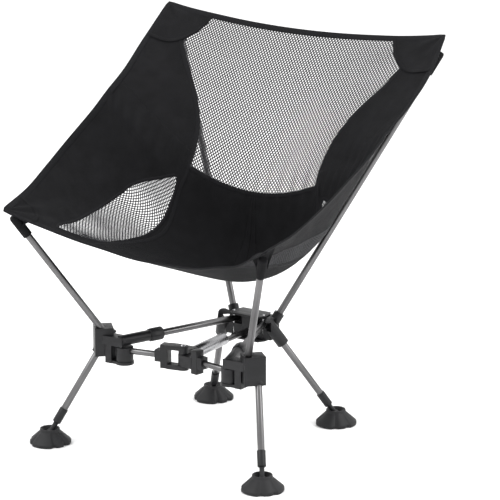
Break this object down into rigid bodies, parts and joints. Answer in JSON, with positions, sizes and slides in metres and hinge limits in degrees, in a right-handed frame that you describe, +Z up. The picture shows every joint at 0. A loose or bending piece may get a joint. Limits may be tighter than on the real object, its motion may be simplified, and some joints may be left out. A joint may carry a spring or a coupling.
{
  "type": "backpacking chair",
  "caption": "Ultralight folding camp chair: hub-and-pole aluminium frame, four wide tilting feet and a bucket sling of fabric and open mesh.",
  "frame": {"origin": "on the floor under the middle of the chair's footprint", "axes": "+Z up, the sitter faces -Y, +X is the sitter's left-hand side seen from the front as the right"},
  "size_m": [0.5504, 0.4963, 0.647],
  "materials": {
    "fabric": "matte black woven polyester",
    "mesh": "black open knit mesh",
    "binding": "black ribbed binding tape",
    "tube": "gunmetal anodised",
    "bright_tube": "lighter anodised",
    "rivet": "bright",
    "moulding": "matte black nylon",
    "foot": "satin black moulded"
  },
  "bodies": {
    "back_frame": {"back_hub": "moulding", "back_hub_lower_plate": "moulding", "back_hub_upper_plate": "moulding", "back_leg_left": "tube", "back_leg_left_ankle": "moulding", "back_leg_right": "tube", "back_leg_right_ankle": "moulding", "back_mesh_panel": "mesh", "back_pole_left": "tube", "back_pole_left_cap": "moulding", "back_pole_left_pocket": "binding", "back_pole_right": "tube", "back_pole_right_cap": "moulding", "back_pole_right_pocket": "binding", "bar_pin_left": "rivet", "bar_pin_right": "rivet", "front_side_panel_left": "fabric", "front_side_panel_right": "fabric", "hip_mesh_left": "mesh", "hip_mesh_right": "mesh", "rim_tape": "binding", "seat_panel": "fabric", "side_panel_left": "fabric", "side_panel_right": "fabric", "strut_inner_tube": "bright_tube"},
    "front_left": {"bar_collar_left": "moulding", "drum_pin_left": "rivet", "front_hub_left": "moulding", "front_leg_left": "tube", "front_leg_left_ankle": "moulding", "front_pole_left": "tube", "front_pole_left_cap": "moulding", "front_pole_left_pocket": "binding", "side_bar_left": "tube"},
    "front_right": {"bar_collar_right": "moulding", "drum_pin_right": "rivet", "front_hub_right": "moulding", "front_leg_right": "tube", "front_leg_right_ankle": "moulding", "front_pole_right": "tube", "front_pole_right_cap": "moulding", "front_pole_right_pocket": "binding", "side_bar_right": "tube"},
    "arm_left": {"half_bar_left": "tube", "knee_fork": "moulding", "knee_rivet": "rivet", "knuckle_left": "moulding"},
    "arm_right": {"half_bar_right": "tube", "knee_tongue": "moulding", "knuckle_right": "moulding"},
    "strut": {"strut_outer_tube": "bright_tube", "strut_socket": "moulding"},
    "button_1": {"spring_button_1": "rivet"},
    "button_2": {"spring_button_2": "rivet"},
    "foot_front_left": {"foot_front_left": "foot"},
    "foot_back_left": {"foot_back_left": "foot"},
    "foot_front_right": {"foot_front_right": "foot"},
    "foot_back_right": {"foot_back_right": "foot"}
  },
  "joints": [
    {"name": "side_bar_swing_right", "type": "hinge", "parent": "back_frame", "child": "front_right", "pos_m": [0.029, 0.08, 0.173], "axis": [0, 0, -1], "range_deg": [0, 15.73], "deforming": ["seat_panel", "back_mesh_panel", "rim_tape", "front_side_panel_left", "front_side_panel_right", "hip_mesh_left", "hip_mesh_right", "side_panel_left", "side_panel_right"]},
    {"name": "half_bar_swing_right", "type": "hinge", "parent": "front_right", "child": "arm_right", "pos_m": [0.1013, -0.1227, 0.1565], "axis": [0, 0, -1], "range_deg": [0, 39.08]},
    {"name": "side_bar_swing_left", "type": "hinge", "parent": "back_frame", "child": "front_left", "pos_m": [-0.029, 0.08, 0.173], "axis": [0, 0, 1], "range_deg": [0, 15.73]},
    {"name": "half_bar_swing_left", "type": "hinge", "parent": "front_left", "child": "arm_left", "pos_m": [-0.1013, -0.1227, 0.1565], "axis": [0, 0, 1], "range_deg": [0, 39.08]},
    {"name": "strut_slide", "type": "slide", "parent": "back_frame", "child": "strut", "axis": [0, 1, 0], "range_m": [0, 0.06313]},
    {"name": "button_1_press", "type": "slide", "parent": "strut", "child": "button_1", "axis": [0, 0, -1], "range_m": [0, 0.0012], "stiffness_N_per_m": 500, "springref_m": -0.0008},
    {"name": "button_2_press", "type": "slide", "parent": "strut", "child": "button_2", "axis": [0, 0, -1], "range_m": [0, 0.0012], "stiffness_N_per_m": 500, "springref_m": -0.0008},
    {"name": "foot_front_left_tilt", "type": "hinge", "parent": "front_left", "child": "foot_front_left", "pos_m": [-0.2046, -0.1865, 0.0165], "axis": [-0.7882, 0.6155, 0], "range_deg": [-7, 7]},
    {"name": "foot_back_left_tilt", "type": "hinge", "parent": "back_frame", "child": "foot_back_left", "pos_m": [-0.1216, 0.1535, 0.0165], "axis": [0.725, 0.6887, 0], "range_deg": [-7, 7]},
    {"name": "foot_front_right_tilt", "type": "hinge", "parent": "front_right", "child": "foot_front_right", "pos_m": [0.2046, -0.1865, 0.0165], "axis": [-0.7882, -0.6155, 0], "range_deg": [-7, 7]},
    {"name": "foot_back_right_tilt", "type": "hinge", "parent": "back_frame", "child": "foot_back_right", "pos_m": [0.1216, 0.1535, 0.0165], "axis": [0.725, -0.6887, 0], "range_deg": [-7, 7]}
  ],
  "couplings": [
    {"joint": "side_bar_swing_left", "follows": "side_bar_swing_right", "ratio": 1},
    {"joint": "half_bar_swing_right", "follows": "side_bar_swing_right", "ratio": 2.4791},
    {"joint": "half_bar_swing_left", "follows": "side_bar_swing_right", "ratio": 2.4791},
    {"joint": "strut_slide", "follows": "side_bar_swing_right", "m_per_rad": 0.22948}
  ]
}
